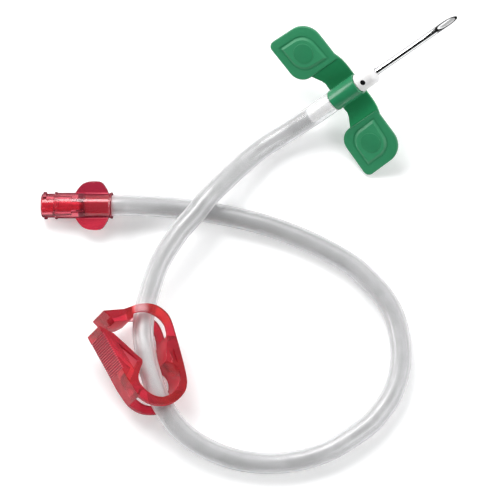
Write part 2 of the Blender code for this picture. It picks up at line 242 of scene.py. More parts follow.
class HubSettings(bpy.types.PropertyGroup):
    nose_length: length(
        "Nose length", "Length of the hub in front of the wings", 0.0069, 0.004, 0.012
    )
    white: paint("White", "Colour of the hub", (0.86, 0.86, 0.865))
    ink: paint("Dot", "Colour of the dot that shows where the bevel is", (0.004, 0.004, 0.005))


class WingSettings(bpy.types.PropertyGroup):
    half_span: length(
        "Half span", "From the needle's axis to the end of a pad", 0.0248, 0.018, 0.03
    )
    pad_thickness: length(
        "Pad thickness", "Thickness of a finger pad at its edge", 0.0013, 0.0008, 0.0025
    )
    pad_green: paint("Pad green", "Colour of the satin pads", (0.025, 0.255, 0.11))
    strap_green: paint("Strap green", "Colour of the polished straps", (0.014, 0.2, 0.075))


class ClampSettings(bpy.types.PropertyGroup):
    width: length("Width", "Width of the bent strip", 0.011, 0.008, 0.014)
    red: paint("Red", "Colour of the clamp", (0.7, 0.03, 0.065))


class LuerSettings(bpy.types.PropertyGroup):
    length: length("Length", "Length of the connector", 0.0213, 0.018, 0.026)
    red: paint("Red", "Colour of the connector", (0.74, 0.045, 0.1))


class StageSettings(bpy.types.PropertyGroup):
    key_power: power("Key power", "Power of the large soft lamp", 5.2)
    side_power: power("Side power", "Power of the low lamp on the left", 3.5)
    fill_power: power("Fill power", "Power of the lamp that lightens the shadows", 2.2)
    sky: FloatProperty(
        name="Sky",
        description="Strength of the even light from all round",
        default=0.76,
        min=0.0,
        max=2.0,
    )
    floor: paint("Floor", "Colour of the table", (0.86, 0.865, 0.87))


class NeedleSetSettings(bpy.types.PropertyGroup):
    hose: PointerProperty(type=HoseSettings)
    needle: PointerProperty(type=NeedleSettings)
    hub: PointerProperty(type=HubSettings)
    wings: PointerProperty(type=WingSettings)
    clamp: PointerProperty(type=ClampSettings)
    luer: PointerProperty(type=LuerSettings)
    stage: PointerProperty(type=StageSettings)


# Materials


class Wire:
    """A shader socket that arithmetic can be written on."""

    def __init__(self, tree, socket):
        self.tree = tree
        self.socket = socket

    def maths(self, operation, *others):
        values = dict(enumerate(others))
        return self.tree.node("ShaderNodeMath", {"operation": operation}, values)

    def __add__(self, other):
        return self.maths("ADD", self, other)

    __radd__ = __add__

    def __mul__(self, other):
        return self.maths("MULTIPLY", self, other)

    __rmul__ = __mul__

    def __sub__(self, other):
        return self.maths("SUBTRACT", self, other)

    def __rsub__(self, other):
        return self.maths("SUBTRACT", other, self)

    def __abs__(self):
        return self.maths("ABSOLUTE", self)

    def ease(self, low, high):
        """0 below low and 1 above high, with a soft step between."""
        values = {"Value": self, "From Min": low, "From Max": high}
        settings = {"interpolation_type": "SMOOTHSTEP"}
        return self.tree.node("ShaderNodeMapRange", settings, values)


class Tree:
    """The nodes of a material or of the world."""

    def __init__(self, owner):
        owner.use_nodes = True
        self.nodes = owner.node_tree.nodes
        self.links = owner.node_tree.links

    def put(self, socket, value):
        if isinstance(value, Wire):
            self.links.new(value.socket, socket)
        elif hasattr(value, "__len__") and len(value) == 3 and socket.type == "RGBA":
            socket.default_value = (*value, 1.0)
        else:
            socket.default_value = value

    def node(self, kind, settings=None, values=None, out=0):
        made = self.nodes.new(kind)
        for key, value in (settings or {}).items():
            setattr(made, key, value)
        for key, value in (values or {}).items():
            self.put(made.inputs[key], value)
        return Wire(self, made.outputs[out])


class Finish(Tree):
    """A procedural material around a Principled shader."""

    def __init__(self, name, **constants):
        self.material = bpy.data.materials.new(name)
        super().__init__(self.material)
        self.shader = self.nodes["Principled BSDF"]
        for socket, value in constants.items():
            self.set(socket.replace("_", " "), value)

    def set(self, socket, value):
        self.put(self.shader.inputs[socket], value)

    def local(self, at, turn_deg):
        """Coordinates in a piece's own frame, in metres."""
        here = self.node("ShaderNodeTexCoord", out="Object")
        turn = tuple(math.radians(a) for a in turn_deg)
        place = tuple(x * MM for x in at)
        values = {"Vector": here, "Location": place, "Rotation": turn}
        return self.node("ShaderNodeMapping", {"vector_type": "TEXTURE"}, values)

    def split(self, vector):
        first = self.node("ShaderNodeSeparateXYZ", values={0: vector})
        node = first.socket.node
        return [Wire(self, out) for out in node.outputs]

    def stretch(self, vector, scale):
        values = {"Vector": vector, "Scale": scale}
        return self.node("ShaderNodeMapping", {"vector_type": "POINT"}, values)

    def noise(self, vector, scale, detail=3.0, roughness=0.55):
        values = {"Vector": vector, "Scale": scale, "Detail": detail, "Roughness": roughness}
        return self.node("ShaderNodeTexNoise", values=values)

    def mix(self, share, first, second):
        values = {"Factor": share, 6: first, 7: second}
        return self.node("ShaderNodeMix", {"data_type": "RGBA"}, values, out=2)

    def spread(self, x, y, middle):
        """The square of the distance, in metres, from a middle that is in millimetres."""
        dx, dy = x - middle[0] * MM, y - middle[1] * MM
        return dx * dx + dy * dy

    def within(self, x, y, corners):
        """One inside the outline, whose corners are in millimetres and run anticlockwise."""
        share = 1
        for (ax, ay), (bx, by) in zip(corners, corners[1:] + corners[:1]):
            run = math.hypot(bx - ax, by - ay)
            inward = (x - ax * MM) * ((ay - by) / run) + (y - ay * MM) * ((bx - ax) / run)
            share = inward.ease(0.05 * MM, 0.25 * MM) * share
        return share

    def strokes(self, x, y, places):
        """One on soft marks, each with its middle, turn, half length and half width."""
        marks = 0
        for along, beside, turn, reach, half in places:
            dx, dy = x - along * MM, y - beside * MM
            turn = math.radians(turn)
            ahead = abs(dx * math.cos(turn) + dy * math.sin(turn))
            aside = abs(dy * math.cos(turn) - dx * math.sin(turn))
            mark = 1 - ahead.ease(reach * 0.5 * MM, reach * MM)
            marks = mark * (1 - aside.ease(half * 0.5 * MM, half * MM)) + marks
        return marks

    def cover(self, share, base, roughness, shine):
        """Lays a second, opaque finish over the share of the surface that it is given."""
        under = self.shader.outputs[0]
        out = self.nodes["Material Output"].inputs["Surface"]
        if out.links:
            under = out.links[0].from_socket
        values = {"Base Color": base, "Roughness": roughness, "Specular IOR Level": shine}
        over = self.node("ShaderNodeBsdfPrincipled", values=values)
        both = self.node("ShaderNodeMixShader", values={0: share, 1: Wire(self, under), 2: over})
        self.links.new(both.socket, out)

    def rim(self, low, high, share, base):
        """Painted shade: darkens the edges, where clear plastic or round steel turns away from the eye.
        """
        away = self.node("ShaderNodeLayerWeight", values={"Blend": 0.35}, out=1)
        self.cover(away.ease(low, high) * share, base, 0.6, 0.0)

    def relief(self, height, distance, strength):
        values = {"Height": height, "Distance": distance, "Strength": strength}
        self.set("Normal", self.node("ShaderNodeBump", values=values))


def rgb(value):
    return tuple(value[:3])


def darker(value, share):
    return tuple(x * share for x in value[:3])


def vinyl_cloud(look):
    """Slow cloudiness, the same in the hose's wall and on its bore."""
    where = look.node("ShaderNodeTexCoord", out="Object")
    return look.noise(where, 160.0, 2.0)


def clear_finish(tint):
    """Clear flexible vinyl with a soft gloss and greyer edges."""
    look = Finish(
        "clear vinyl",
        Base_Color=rgb(tint),
        Transmission_Weight=0.82,
        IOR=1.22,
        Roughness=0.2,
        Coat_Weight=1.0,
        Coat_Roughness=0.36,
        Coat_IOR=1.8,
    )
    cloud = vinyl_cloud(look)
    look.set("Roughness", 0.18 + cloud * 0.1)
    look.set("Base Color", look.mix(cloud.ease(0.35, 0.7), rgb(tint), darker(tint, 0.965)))
    # Painted shade along the hose's edges.
    look.rim(0.34, 0.62, 0.7, (tint[0] * 0.62, tint[1] * 0.6, tint[2] * 0.61))
    return look.material


def bore_finish(tint):
    """The bore: a dull grey core with painted shade by the needle and painted light in the clamp, clear
    over a fitting.
    """
    look = Finish("vinyl bore", Base_Color=darker(tint, 0.6), Roughness=0.35, Alpha=0.5)
    cloud = vinyl_cloud(look)
    along, beside, _ = look.split(look.local(NEEDLE_AT, NEEDLE_TURN))
    inside, _, _ = look.split(look.local(LUER_AT, LUER_TURN))
    filled = along.ease((STEM_END - 0.4) * MM, STEM_END * MM) + inside.ease(0.0, 0.4 * MM)
    look.set("Roughness", 0.26 + cloud * 0.1)
    # Painted shade on the core near the needle.
    near = along.ease(-110 * MM, -20 * MM) * beside.ease(-45 * MM, -12 * MM)
    warm = (tint[0], tint[1] * 0.975, tint[2] * 0.985)
    core = look.mix(near, darker(warm, 0.72), darker(warm, 0.43))
    x, y, _ = look.split(look.local(CLAMP_AT, CLAMP_TURN))
    # Painted light on the core inside the clamp.
    painted_light_in_clamp = 1 - look.spread(x, y, (0, 0)).ease(150 * MM**2, 300 * MM**2)
    core = look.mix(cloud.ease(0.35, 0.7), core, darker(warm, 0.6))
    look.set("Base Color", look.mix(painted_light_in_clamp, core, darker(tint, 0.92)))
    look.set("Alpha", 0.62 - filled * 0.57)
    return look.material


def steel_finish(steel, heel):
    """Drawn, finely scratched tube, nearly black past the heel outside its bore.

    A weak glow in the bore stands for the light that gathers in a bright tube.
    """
    look = Finish(
        "drawn steel",
        Base_Color=rgb(steel),
        Metallic=1.0,
        Roughness=0.16,
        Emission_Strength=0.7,
    )
    here = look.local(NEEDLE_AT, NEEDLE_TURN)
    drawn = look.noise(look.stretch(here, (60.0, 4200.0, 4200.0)), 1.0, 4.0)
    cloud = look.noise(here, 420.0, 2.0)
    look.set("Roughness", 0.09 + drawn * 0.12 + cloud * 0.05)
    colour = look.mix(drawn.ease(0.3, 0.75), rgb(steel), darker(steel, 0.9))
    look.relief(drawn, 0.000006, 0.6)
    x, y, z = look.split(here)
    inside = 1 - look.spread(y, z, (CANNULA_ASIDE, 0)).ease(0.6 * MM**2, 0.62 * MM**2)
    # Nearly black past the heel, outside the bore.
    past_heel = x.ease(heel * MM, (heel + 0.6) * MM) * (1 - inside)
    look.set("Base Color", look.mix(past_heel, colour, darker(steel, 0.12)))
    # Painted shade along the tube's edges.
    look.rim(0.24, 0.5, 0.85, darker(steel, 0.3))
    look.set("Emission Color", look.mix(inside, (0.0, 0.0, 0.0), rgb(steel)))
    return look.material


def white_finish(white):
    """Smooth white moulding.

    A weak glow stands for the light that scatters in it, most of all in the thin stem.
    """
    look = Finish("hub white", Base_Color=rgb(white), Roughness=0.25, Emission_Strength=0.3)
    here = look.local(NEEDLE_AT, NEEDLE_TURN)
    along, _, _ = look.split(here)
    stem = 1 - along.ease((BARREL_REAR - 0.4) * MM, BARREL_REAR * MM)
    look.set("Emission Color", look.mix(stem, darker(white, 0.25), rgb(white)))
    cloud = look.noise(here, 330.0, 3.0)
    grain = look.noise(here, 5200.0, 2.0)
    warm = (white[0], white[1] * 0.985, white[2] * 0.965)
    look.set("Base Color", look.mix(cloud.ease(0.35, 0.75), rgb(white), warm))
    look.set("Roughness", 0.2 + cloud * 0.1 + grain * 0.05)
    look.relief(grain, 0.000008, 0.5)
    return look.material


def ink_finish(ink):
    """Flat black print, a little grey where it is thin."""
    look = Finish("dot ink", Base_Color=rgb(ink), Roughness=0.4, Specular_IOR_Level=0.1)
    here = look.local(NEEDLE_AT, NEEDLE_TURN)
    grain = look.noise(here, 4200.0, 3.0)
    look.set("Base Color", look.mix(grain.ease(0.4, 0.8), rgb(ink), (0.009, 0.009, 0.01)))
    look.set("Roughness", 0.3 + grain * 0.25)
    look.relief(grain, 0.00001, 0.5)
    return look.material


def green_finish(pad_green, strap_green):
    """Soft green vinyl: satin pads, and smoother and deeper straps and collar, with painted light on one
    strap and on the panels of the pads.
    """
    look = Finish("wing green", Base_Color=rgb(pad_green), Roughness=0.45)
    here = look.local(NEEDLE_AT, NEEDLE_TURN)
    _, across, height = look.split(here)
    out = abs(across)
    painted_light_panel = height.ease((PAD_TOP - 0.05) * MM, (PAD_TOP + 0.05) * MM)
    painted_light_panel = painted_light_panel * (1 - height.ease((PAD_TOP + 0.43) * MM, (PAD_TOP + 0.49) * MM))
    painted_light_panel = painted_light_panel * out.ease(9.9 * MM, 10.1 * MM)
    strap = out.ease(3.0 * MM, 3.6 * MM) * (1 - out.ease(9.4 * MM, 9.8 * MM))
    collar = 1 - out.ease(3.1 * MM, 3.5 * MM)
    cloud = look.noise(here, 210.0, 3.0)
    grain = look.noise(here, 3800.0, 3.0, 0.6)
    pad = look.mix(cloud.ease(0.3, 0.75), rgb(pad_green), darker(pad_green, 0.9))
    # Painted light: the strap on one side is lighter than on the other.
    strap_with_painted_light = look.mix(across.ease(-2 * MM, 2 * MM), darker(strap_green, 1.6), rgb(strap_green))
    # Painted light on the panel around the disc.
    pad = look.mix(painted_light_panel, pad, tuple(x * 1.1 + 0.008 for x in pad_green))
    look.set("Base Color", look.mix(strap, pad, strap_with_painted_light))
    look.set("Roughness", 0.36 + cloud * 0.08 + grain * 0.1 - strap * 0.12 - collar * 0.22)
    look.relief(grain * (1 - strap * 0.7 - collar * 0.7), 0.00003, 0.6)
    return look.material


def red_finish(name, red, at, turn, clearness, ior, warmth):
    """See-through red moulding: faint flow lines, and painted shade, a darker red, where its faces turn
    away.
    """
    look = Finish(
        name,
        Base_Color=rgb(red),
        Transmission_Weight=clearness,
        IOR=ior,
        Roughness=0.12,
        Specular_IOR_Level=0.35,
    )
    here = look.local(at, turn)
    flow = look.noise(look.stretch(here, (90.0, 300.0, 90.0)), 1.0, 3.0)
    fine = look.noise(here, 2600.0, 2.0)
    large = look.noise(here, 75.0, 2.0)
    turned_away = look.node("ShaderNodeLayerWeight", values={"Blend": 0.35}, out=1)
    orange = (red[0], red[1] * (1 + warmth), red[2] * (1 - warmth))
    colour = look.mix(large.ease(0.42, 0.62), rgb(red), orange)
    colour = look.mix(flow.ease(0.3, 0.75), colour, darker(red, 0.8))
    # Painted shade: a darker red where the faces turn away from the eye.
    colour = look.mix(turned_away.ease(0.14, 0.6) * 0.75, colour, (red[0] * 0.7, 0.008, 0.02))
    look.set("Roughness", 0.06 + flow * 0.08 + fine * 0.05)
    look.relief(flow * 0.7 + fine * 0.3, 0.000008, 0.5)
    return look, here, colour


def clamp_finish(red):
    """The clamp's red, with painted highlights on the ridges of its grip and painted shade in the
    grooves.

    It is paler on the nose's pocket, and has a painted highlight on the crown, where the hose also shows
    through.
    """
    look, here, colour = red_finish("clamp red", red, CLAMP_AT, CLAMP_TURN, 0.75, 1.35, 0.45)
    x, y, _ = look.split(here)
    across = x - GRIP_FOOT[0] * MM
    up = y - GRIP_FOOT[1] * MM
    along = across * GRIP_RUN[0] + up * GRIP_RUN[1]
    out = up * GRIP_RUN[0] - across * GRIP_RUN[1]
    reach = GRIP_PITCH * GRIP_COUNT * MM
    grip = out.ease(-0.6 * MM, -0.4 * MM) * along.ease(-0.4 * MM, -0.2 * MM)
    grip = grip * (1 - along.ease(reach - 0.3 * MM, reach - 0.1 * MM))
    wave = look.node("ShaderNodeMath", {"operation": "COSINE"}, {0: along * (TAU / GRIP_PITCH / MM)})
    # Painted highlight on the crown, over the hose.
    painted_highlight_over_hose = 1 - look.spread(x, y, CROWN).ease(0.0, 8.5 * MM**2)
    look.set("Base Color", look.mix(painted_highlight_over_hose * 0.75, colour, (1.0, 0.62, 0.66)))
    # Painted shade along the clamp's edges.
    look.rim(0.36, 0.6, 0.6, (0.64, 0.035, 0.06))
    look.cover(look.within(x, y, NOSE_POCKET) * 0.45, (0.8, 0.12, 0.16), 0.3, 0.2)
    # Painted highlights on the ridges, brightest near the foot, and painted shade in the grooves.
    painted_ridge_highlight = (1 - wave.ease(-0.6, 0.4)) * (1 - along.ease(0.0, reach) * 0.6)
    ridges = look.mix(painted_ridge_highlight, (0.36, 0.02, 0.045), (0.85, 0.14, 0.17))
    look.cover(grip * 0.8, ridges, 0.3, 0.1)
    return look.material


def luer_finish(red):
    """The connector's red, with painted light on the barrel, most over the hose, which also shows
    through, and painted shade on one lug, at the shoulder and at a few marks.
    """
    look, here, colour = red_finish("luer red", red, LUER_AT, LUER_TURN, 0.92, 1.5, 0.1)
    x, y, _ = look.split(here)
    barrel = 1 - abs(y).ease(3.7 * MM, 3.9 * MM)
    over_hose = barrel * (1 - x.ease(8.0 * MM, 8.5 * MM))
    shoulder = barrel * x.ease(8.3 * MM, 8.7 * MM) * (1 - x.ease(9.4 * MM, 10.0 * MM))
    # Painted light on the barrel, more over the hose, which also shows through.
    colour = look.mix(barrel * 0.38 + over_hose * 0.15, colour, (1.0, 0.28, 0.34))
    # Painted shade at the shoulder.
    colour = look.mix(shoulder * 0.6, colour, darker(red, 0.35))
    # Painted shade on the lug on one side.
    shaded_lug = y.ease(3.7 * MM, 4.0 * MM)
    look.set("Base Color", look.mix(shaded_lug, colour, darker(red, 0.4)))
    # Painted shade along the connector's edges.
    look.rim(0.24, 0.5, 0.85, (0.16, 0.003, 0.018))
    # Painted shade at a few marks on the barrel.
    look.cover(look.strokes(x, y, SHADE_MARKS) * 0.8, (0.09, 0.002, 0.012), 0.3, 0.2)
    return look.material


# Modelling


def select_none():
    if bpy.context.object and bpy.context.object.mode != "OBJECT":
        bpy.ops.object.mode_set(mode="OBJECT")
    bpy.ops.object.select_all(action="DESELECT")


def pick(obj):
    select_none()
    obj.select_set(True)
    bpy.context.view_layer.objects.active = obj


def edit(obj):
    """Opens a mesh in edit mode with all of its faces selected."""
    pick(obj)
    bpy.ops.object.mode_set(mode="EDIT")
    bpy.ops.mesh.select_mode(type="FACE")
    bpy.ops.mesh.select_all(action="SELECT")


def leave():
    bpy.ops.object.mode_set(mode="OBJECT")


def heal(obj):
    """Merges doubled corners and turns every face outwards."""
    edit(obj)
    bpy.ops.mesh.remove_doubles(threshold=0.000002)
    bpy.ops.mesh.select_all(action="SELECT")
    bpy.ops.mesh.normals_make_consistent(inside=False)
    leave()


def modify(obj, kind, **settings):
    """Adds a modifier and applies it."""
    pick(obj)
    mod = obj.modifiers.new(kind.title(), kind)
    for key, value in settings.items():
        setattr(mod, key, value)
    bpy.ops.object.modifier_apply(modifier=mod.name)


def join_in(obj, other, operation="UNION"):
    modify(obj, "BOOLEAN", operation=operation, solver="EXACT", object=other)
    bpy.data.objects.remove(other, do_unlink=True)


def smooth(obj, degrees):
    pick(obj)
    bpy.ops.object.shade_smooth_by_angle(angle=math.radians(degrees))


def smooth_line(points, times):
    """Points read from a smooth curve that passes through the given ones."""
    pts = [Vector(p) for p in points]
    pts = [pts[0] * 2 - pts[1]] + pts + [pts[-1] * 2 - pts[-2]]
    out = []
    for i in range(1, len(pts) - 2):
        a, b, c, d = pts[i - 1 : i + 3]
        for k in range(times):
            t = k / times
            first = (c - a) * t
            second = (a * 2 - b * 5 + c * 4 - d) * t * t
            third = (b * 3 - a - c * 3 + d) * t * t * t
            out.append((b * 2 + first + second + third) * 0.5)
    out.append(pts[-2])
    return out


def rounded(corners, steps=10):
    """An outline whose corners, each (x, y, radius), are turned into arcs."""
    out = []
    count = len(corners)
    for i, (x, y, radius) in enumerate(corners):
        here = Vector((x, y))
        if radius <= 0:
            out.append((x, y))
            continue
        before = (Vector(corners[i - 1][:2]) - here).normalized()
        after = (Vector(corners[(i + 1) % count][:2]) - here).normalized()
        half = before.angle(after) / 2
        reach = radius / math.tan(half)
        start = here + before * reach
        end = here + after * reach
        centre = here + (before + after).normalized() * (radius / math.sin(half))
        first = start - centre
        turn = first.angle_signed(end - centre)
        for k in range(steps + 1):
            arm = first.copy()
            arm.rotate(Matrix.Rotation(-turn * k / steps, 2))
            out.append(tuple(centre + arm))
    return out


def turned(name, corners, steps=72):
    """A ring-shaped solid: a closed section of (x, radius, rounding) spun about the x axis."""
    section = rounded(corners, 5)
    select_none()
    bpy.ops.mesh.primitive_circle_add(vertices=len(section), radius=0.01, fill_type="NOTHING")
    obj = bpy.context.object
    obj.name = name
    for vertex, (x, r) in zip(obj.data.vertices, section):
        vertex.co = (x * MM, 0, r * MM)
    edit(obj)
    bpy.ops.mesh.select_mode(type="VERT")
    bpy.ops.mesh.select_all(action="SELECT")
    bpy.ops.mesh.spin(steps=steps, angle=TAU, center=(0, 0, 0), axis=(1, 0, 0))
    leave()
    heal(obj)
    return obj


def slab(name, outline, low, high, edge, steps=3):
    """A flat outline in millimetres given a thickness and a rounded edge."""
    select_none()
    bpy.ops.curve.primitive_bezier_circle_add(radius=0.01)
    obj = bpy.context.object
    obj.name = name
    curve = obj.data
    curve.splines.clear()
    spline = curve.splines.new("POLY")
    spline.points.add(len(outline) - 1)
    for point, (x, y) in zip(spline.points, outline):
        point.co = (x * MM, y * MM, 0, 1)
    spline.use_cyclic_u = True
    curve.dimensions = "2D"
    curve.fill_mode = "BOTH"
    curve.extrude = ((high - low) / 2 - edge) * MM
    curve.bevel_depth = edge * MM
    curve.bevel_resolution = steps
    curve.offset = -edge * MM
    pick(obj)
    bpy.ops.object.convert(target="MESH")
    obj = bpy.context.object
    edit(obj)
    bpy.ops.mesh.remove_doubles(threshold=0.000003)
    bpy.ops.mesh.select_all(action="SELECT")
    bpy.ops.transform.translate(value=(0, 0, (high + low) / 2 * MM))
    bpy.ops.mesh.normals_make_consistent(inside=False)
    leave()
    return obj


def stepped(name, rings):
    """A flat solid whose outline changes from ring to ring, each (outline, z) in millimetres."""
    outline, z = rings[0]
    select_none()
    bpy.ops.mesh.primitive_circle_add(vertices=len(outline), radius=0.01, fill_type="NGON")
    obj = bpy.context.object
    obj.name = name
    last = [Vector((x, y, z)) * MM for x, y in outline]
    for vertex, at in zip(obj.data.vertices, last):
        vertex.co = at
    edit(obj)
    for outline, z in rings[1:]:
        bpy.ops.mesh.extrude_region_move()
        here = [Vector((x, y, z)) * MM for x, y in outline]
        bm = bmesh.from_edit_mesh(obj.data)
        for vertex in bm.verts:
            if vertex.select:
                near = min(range(len(last)), key=lambda k: (last[k] - vertex.co).length)
                vertex.co = here[near]
        bmesh.update_edit_mesh(obj.data)
        last = here
    bpy.ops.mesh.select_all(action="SELECT")
    bpy.ops.mesh.normals_make_consistent(inside=False)
    leave()
    return obj


def rod(name, start, end, radius, vertices=48):
    """A plain round cutter from start to end, in millimetres."""
    a = Vector(start) * MM
    b = Vector(end) * MM
    turn = (b - a).to_track_quat("Z", "Y").to_euler()
    select_none()
    bpy.ops.mesh.primitive_cylinder_add(
        vertices=vertices,
        radius=radius * MM,
        depth=(b - a).length,
        location=(a + b) / 2,
        rotation=turn,
    )
    obj = bpy.context.object
    obj.name = name
    bpy.ops.object.transform_apply(location=True, rotation=True, scale=True)
    return obj


def finished(obj, place, material, body, node=None, degrees=32.0):
    """Lays a piece in its place, gives it its material and lets it ride on its body."""
    pick(obj)
    obj.matrix_world = place
    bpy.ops.object.transform_apply(location=True, rotation=True, scale=True)
    obj.data.materials.clear()
    obj.data.materials.append(material)
    smooth(obj, degrees)
    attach(obj, body)
    if node:
        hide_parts(node)
    return obj


# Operators


class NEEDLESET_OT_stage(bpy.types.Operator):
    """Make the table, the lamps and the camera"""

    bl_idname = "needleset.stage"
    bl_label = "Table, lamps and camera"

    def execute(self, context):
        settings = context.scene.needle_set.stage
        context.scene.view_settings.view_transform = "Standard"
        aim = Vector(AIM) * MM
        azimuth = math.radians(VIEW_AZIMUTH)
        height = math.radians(VIEW_HEIGHT)
        level = math.cos(height)
        back = Vector((math.sin(azimuth) * level, -math.cos(azimuth) * level, math.sin(height)))
        self.camera(context, aim, back)
        self.table(context, aim, settings.floor)
        self.surroundings(context.scene, back, settings.sky)
        self.lamps(context, aim, settings)
        return {"FINISHED"}

    def camera(self, context, aim, back):
        bpy.ops.object.camera_add(location=aim + back * VIEW_DISTANCE)
        camera = context.object
        camera.rotation_mode = "QUATERNION"
        camera.rotation_quaternion = (-back).to_track_quat("-Z", "Y")
        camera.data.lens = 360
        camera.data.sensor_width = 36
        camera.data.clip_start = 0.05
        camera.data.clip_end = 50
        context.scene.camera = camera

    def table(self, context, aim, colour):
        """A matt table with a glow that only the eye sees, so that it runs into the white."""
        select_none()
        bpy.ops.mesh.primitive_plane_add(size=6.0, location=(aim.x, aim.y, 0))
        floor = context.object
        floor.name = "table"
        look = Finish("table", Base_Color=rgb(colour), Roughness=0.6, Specular_IOR_Level=0.0)
        ray = look.node("ShaderNodeLightPath").socket.node.outputs
        seen = Wire(look, ray["Is Camera Ray"]) + Wire(look, ray["Is Glossy Ray"])
        seen = seen + Wire(look, ray["Is Transmission Ray"])
        values = {"Color": (1.0, 1.0, 1.0), "Strength": seen * 0.3}
        glow = look.node("ShaderNodeEmission", values=values)
        values = {0: Wire(look, look.shader.outputs[0]), 1: glow}
        both = look.node("ShaderNodeAddShader", values=values)
        look.put(look.nodes["Material Output"].inputs["Surface"], both)
        floor.data.materials.append(look.material)

    def surroundings(self, scene, back, strength):
        """Even light from all round but for two dark cards, and plain white to the camera."""
        scene.world = scene.world or bpy.data.worlds.new("studio")
        world = Tree(scene.world)
        where = world.node("ShaderNodeTexCoord", out="Generated")
        cards = []
        for way, edge in ((back, CAMERA_CARD), (LEFT_CARD_WAY, LEFT_CARD)):
            values = {0: where, 1: way}
            side = world.node("ShaderNodeVectorMath", {"operation": "DOT_PRODUCT"}, values, "Value")
            cards.append(side.ease(*edge))
        dark = cards[0].maths("MAXIMUM", *cards)
        values = {"Value": dark, "To Min": strength, "To Max": CARD_GLOW}
        light = world.node("ShaderNodeMapRange", values=values)
        around = world.nodes["Background"]
        world.put(around.inputs["Color"], (1.0, 1.0, 1.0))
        world.put(around.inputs["Strength"], light)
        values = {"Color": (1.0, 1.0, 1.0), "Strength": 1.0}
        white = world.node("ShaderNodeBackground", values=values)
        seen = world.node("ShaderNodeLightPath", out="Is Camera Ray")
        values = {0: seen, 1: Wire(world, around.outputs[0]), 2: white}
        both = world.node("ShaderNodeMixShader", values=values)
        world.put(world.nodes["World Output"].inputs["Surface"], both)

    def lamps(self, context, aim, settings):
        for name, ahead, aside, up in LAMPS:
            arm = INTO_PICTURE * ahead + TO_THE_RIGHT * aside + Vector((0, 0, up))
            bpy.ops.object.light_add(type="AREA", location=aim + arm)
            lamp = context.object
            lamp.name = f"{name} lamp"
            lamp.data.shape = "RECTANGLE"
            lamp.data.size = 0.5
            lamp.data.size_y = 0.35
            lamp.data.energy = getattr(settings, f"{name}_power")
            lamp.rotation_mode = "QUATERNION"
            lamp.rotation_quaternion = (-arm).to_track_quat("-Z", "Y")


class NEEDLESET_OT_hose(bpy.types.Operator):
    """Lay the clear hose from the hub's stem to the connector"""

    bl_idname = "needleset.hose"
    bl_label = "Clear hose"

    def execute(self, context):
        settings = context.scene.needle_set.hose
        radius = settings.radius
        points = [NEEDLE_PLACE @ Vector((x * MM, 0, 0)) for x in ON_STEM]
        points += [Vector((x * MM, y * MM, z * MM + radius)) for x, y, z in ROUTE]
        points += [LUER_PLACE @ Vector((x * MM, 0, 0)) for x in IN_SOCKET]
        line = smooth_line(points, 8)

        select_none()
        bpy.ops.curve.primitive_bezier_curve_add()
        hose = context.object
        hose.name = "clear_hose"
        hose.matrix_world = Matrix.Identity(4)
        curve = hose.data
        curve.splines.clear()
        spline = curve.splines.new("POLY")
        spline.points.add(len(line) - 1)
        for point, at in zip(spline.points, line):
            point.co = (*at, 1)
        curve.dimensions = "3D"
        curve.twist_mode = "MINIMUM"
        curve.bevel_depth = radius
        curve.bevel_resolution = 10
        pick(hose)
        bpy.ops.object.convert(target="MESH")
        hose = context.object
        heal(hose)
        hose.data.materials.append(None)
        hose.data.materials.append(None)
        modify(
            hose,
            "SOLIDIFY",
            thickness=settings.wall,
            offset=-1.0,
            use_rim=True,
            material_offset=1,
        )
        finish = clear_finish(settings.tint)
        sides = [face.material_index for face in hose.data.polygons]
        finished(hose, Matrix.Identity(4), finish, "line", "hose", 50.0)
        hose.data.materials.append(bore_finish(settings.tint))
        for face, side in zip(hose.data.polygons, sides):
            face.material_index = side
        self.declare(hose, line, radius)
        return {"FINISHED"}

    def declare(self, hose, line, radius):
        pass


class NEEDLESET_OT_hub(bpy.types.Operator):
    """Turn the white hub and set its dot"""

    bl_idname = "needleset.hub"
    bl_label = "White hub"

    def execute(self, context):
        settings = context.scene.needle_set.hub
        nose = BARREL_FRONT + settings.nose_length / MM
        channel_r = 1.06
        channel_end = nose - 9.2
        section = [
            (STEM_END, STEM_R - 0.75, 0.1),
            (STEM_END, STEM_R, 0.1),
            (BARREL_REAR, STEM_R, 0.0),
            (BARREL_REAR, BARREL_R, 0.0),
            (BARREL_FRONT, BARREL_R, 0.0),
            (BARREL_FRONT, NOSE_R, 0.3),
            (nose - 1.05, NOSE_R, 1.6),
            (nose, 1.35, 0.4),
            (nose, channel_r, 0.0),
            (channel_end, channel_r, 0.0),
            (channel_end, HUB_BORE, 0.0),
            (STEM_END, HUB_BORE + 0.5, 0.0),
        ]
        hub = turned("white_hub", section)
        lean = Matrix.Rotation(math.radians(3.5), 4, "X")
        ahead = BARREL_FRONT + 2.35
        dot_r = 0.8
        low = lean @ Vector((ahead, 0, NOSE_R - 0.12))
        high = lean @ Vector((ahead, 0, NOSE_R + 1.0))
        join_in(hub, rod("recess", low, high, dot_r + 0.03), "DIFFERENCE")
        white = white_finish(settings.white)
        finished(hub, NEEDLE_PLACE, white, "line", "hub")

        low = lean @ Vector((ahead, 0, NOSE_R - 0.16))
        high = lean @ Vector((ahead, 0, NOSE_R - 0.075))
        dot = rod("black_dot", low, high, dot_r)
        modify(dot, "BEVEL", width=0.00004, segments=2, limit_method="ANGLE")
        finished(dot, NEEDLE_PLACE, ink_finish(settings.ink), "line")
        return {"FINISHED"}


